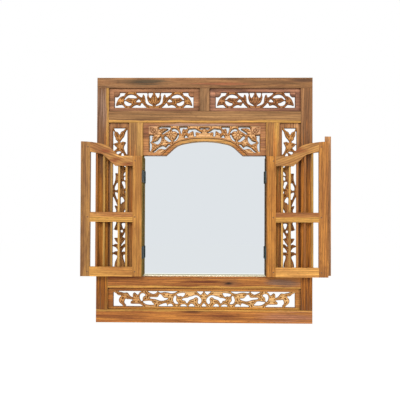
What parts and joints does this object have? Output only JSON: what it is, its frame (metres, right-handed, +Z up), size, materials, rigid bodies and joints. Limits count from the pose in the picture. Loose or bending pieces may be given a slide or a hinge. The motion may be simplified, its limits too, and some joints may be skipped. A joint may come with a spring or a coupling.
{
  "type": "shutter mirror",
  "caption": "Teak wall mirror in a frame of pierced carved panels, with barred shutters that swing on butt hinges over an arched opening.",
  "frame": {"origin": "on the wall plane, midway between the centres of the two keyholes that hang the mirror", "axes": "+X to the viewer's right, +Y into the wall, +Z up; the mirror faces -Y"},
  "size_m": [0.8102, 0.066, 0.8],
  "materials": {
    "frame_teak": "waxed old teak",
    "carved_teak": "waxed carved teak",
    "shutter_teak": "waxed old teak",
    "peg_wood": "dark end grain",
    "backing_board": "plain thin board",
    "mirror": "silvered float glass",
    "hinge_iron": "blackened iron",
    "zinc_plated_steel": "zinc plated"
  },
  "bodies": {
    "frame": {"top_rail": "frame_teak", "bottom_rail": "frame_teak", "left_stile": "frame_teak", "right_stile": "frame_teak", "transom_rail": "frame_teak", "sill_rail": "frame_teak", "left_jamb": "frame_teak", "right_jamb": "frame_teak", "top_mullion": "frame_teak", "upper_left_panel": "carved_teak", "upper_right_panel": "carved_teak", "left_side_panel": "carved_teak", "right_side_panel": "carved_teak", "arch_panel": "carved_teak", "bottom_panel": "carved_teak", "mirror_glass": "mirror", "mirror_backing": "backing_board", "backing_cleats": "frame_teak", "left_hanger_plate": "zinc_plated_steel", "right_hanger_plate": "zinc_plated_steel", "hanger_screws": "zinc_plated_steel", "frame_pegs": "peg_wood", "left_upper_frame_leaf": "hinge_iron", "left_lower_frame_leaf": "hinge_iron", "right_upper_frame_leaf": "hinge_iron", "right_lower_frame_leaf": "hinge_iron", "left_upper_hinge_pin": "hinge_iron", "left_lower_hinge_pin": "hinge_iron", "right_upper_hinge_pin": "hinge_iron", "right_lower_hinge_pin": "hinge_iron", "frame_hinge_screws": "hinge_iron"},
    "left_shutter": {"left_upper_shutter_leaf": "hinge_iron", "left_lower_shutter_leaf": "hinge_iron", "left_hinge_screws": "hinge_iron", "left_hinge_stile": "shutter_teak", "left_meeting_stile": "shutter_teak", "left_shutter_top_rail": "shutter_teak", "left_shutter_mid_rail": "shutter_teak", "left_shutter_bottom_rail": "shutter_teak", "left_bar_1": "shutter_teak", "left_bar_2": "shutter_teak", "left_bar_3": "shutter_teak", "left_bar_4": "shutter_teak", "left_bar_5": "shutter_teak", "left_shutter_pegs": "peg_wood"},
    "right_shutter": {"right_upper_shutter_leaf": "hinge_iron", "right_lower_shutter_leaf": "hinge_iron", "right_hinge_screws": "hinge_iron", "right_hinge_stile": "shutter_teak", "right_meeting_stile": "shutter_teak", "right_shutter_top_rail": "shutter_teak", "right_shutter_mid_rail": "shutter_teak", "right_shutter_bottom_rail": "shutter_teak", "right_bar_1": "shutter_teak", "right_bar_2": "shutter_teak", "right_bar_3": "shutter_teak", "right_bar_4": "shutter_teak", "right_bar_5": "shutter_teak", "right_shutter_pegs": "peg_wood", "right_shutter_astragal": "shutter_teak"}
  },
  "joints": [
    {"name": "left_shutter_hinge", "type": "hinge", "parent": "frame", "child": "left_shutter", "pos_m": [-0.2003, -0.042, 0], "axis": [0, 0, 1], "range_deg": [-2, 180]},
    {"name": "right_shutter_hinge", "type": "hinge", "parent": "frame", "child": "right_shutter", "pos_m": [0.2003, -0.042, 0], "axis": [0, 0, -1], "range_deg": [-2, 180]}
  ]
}
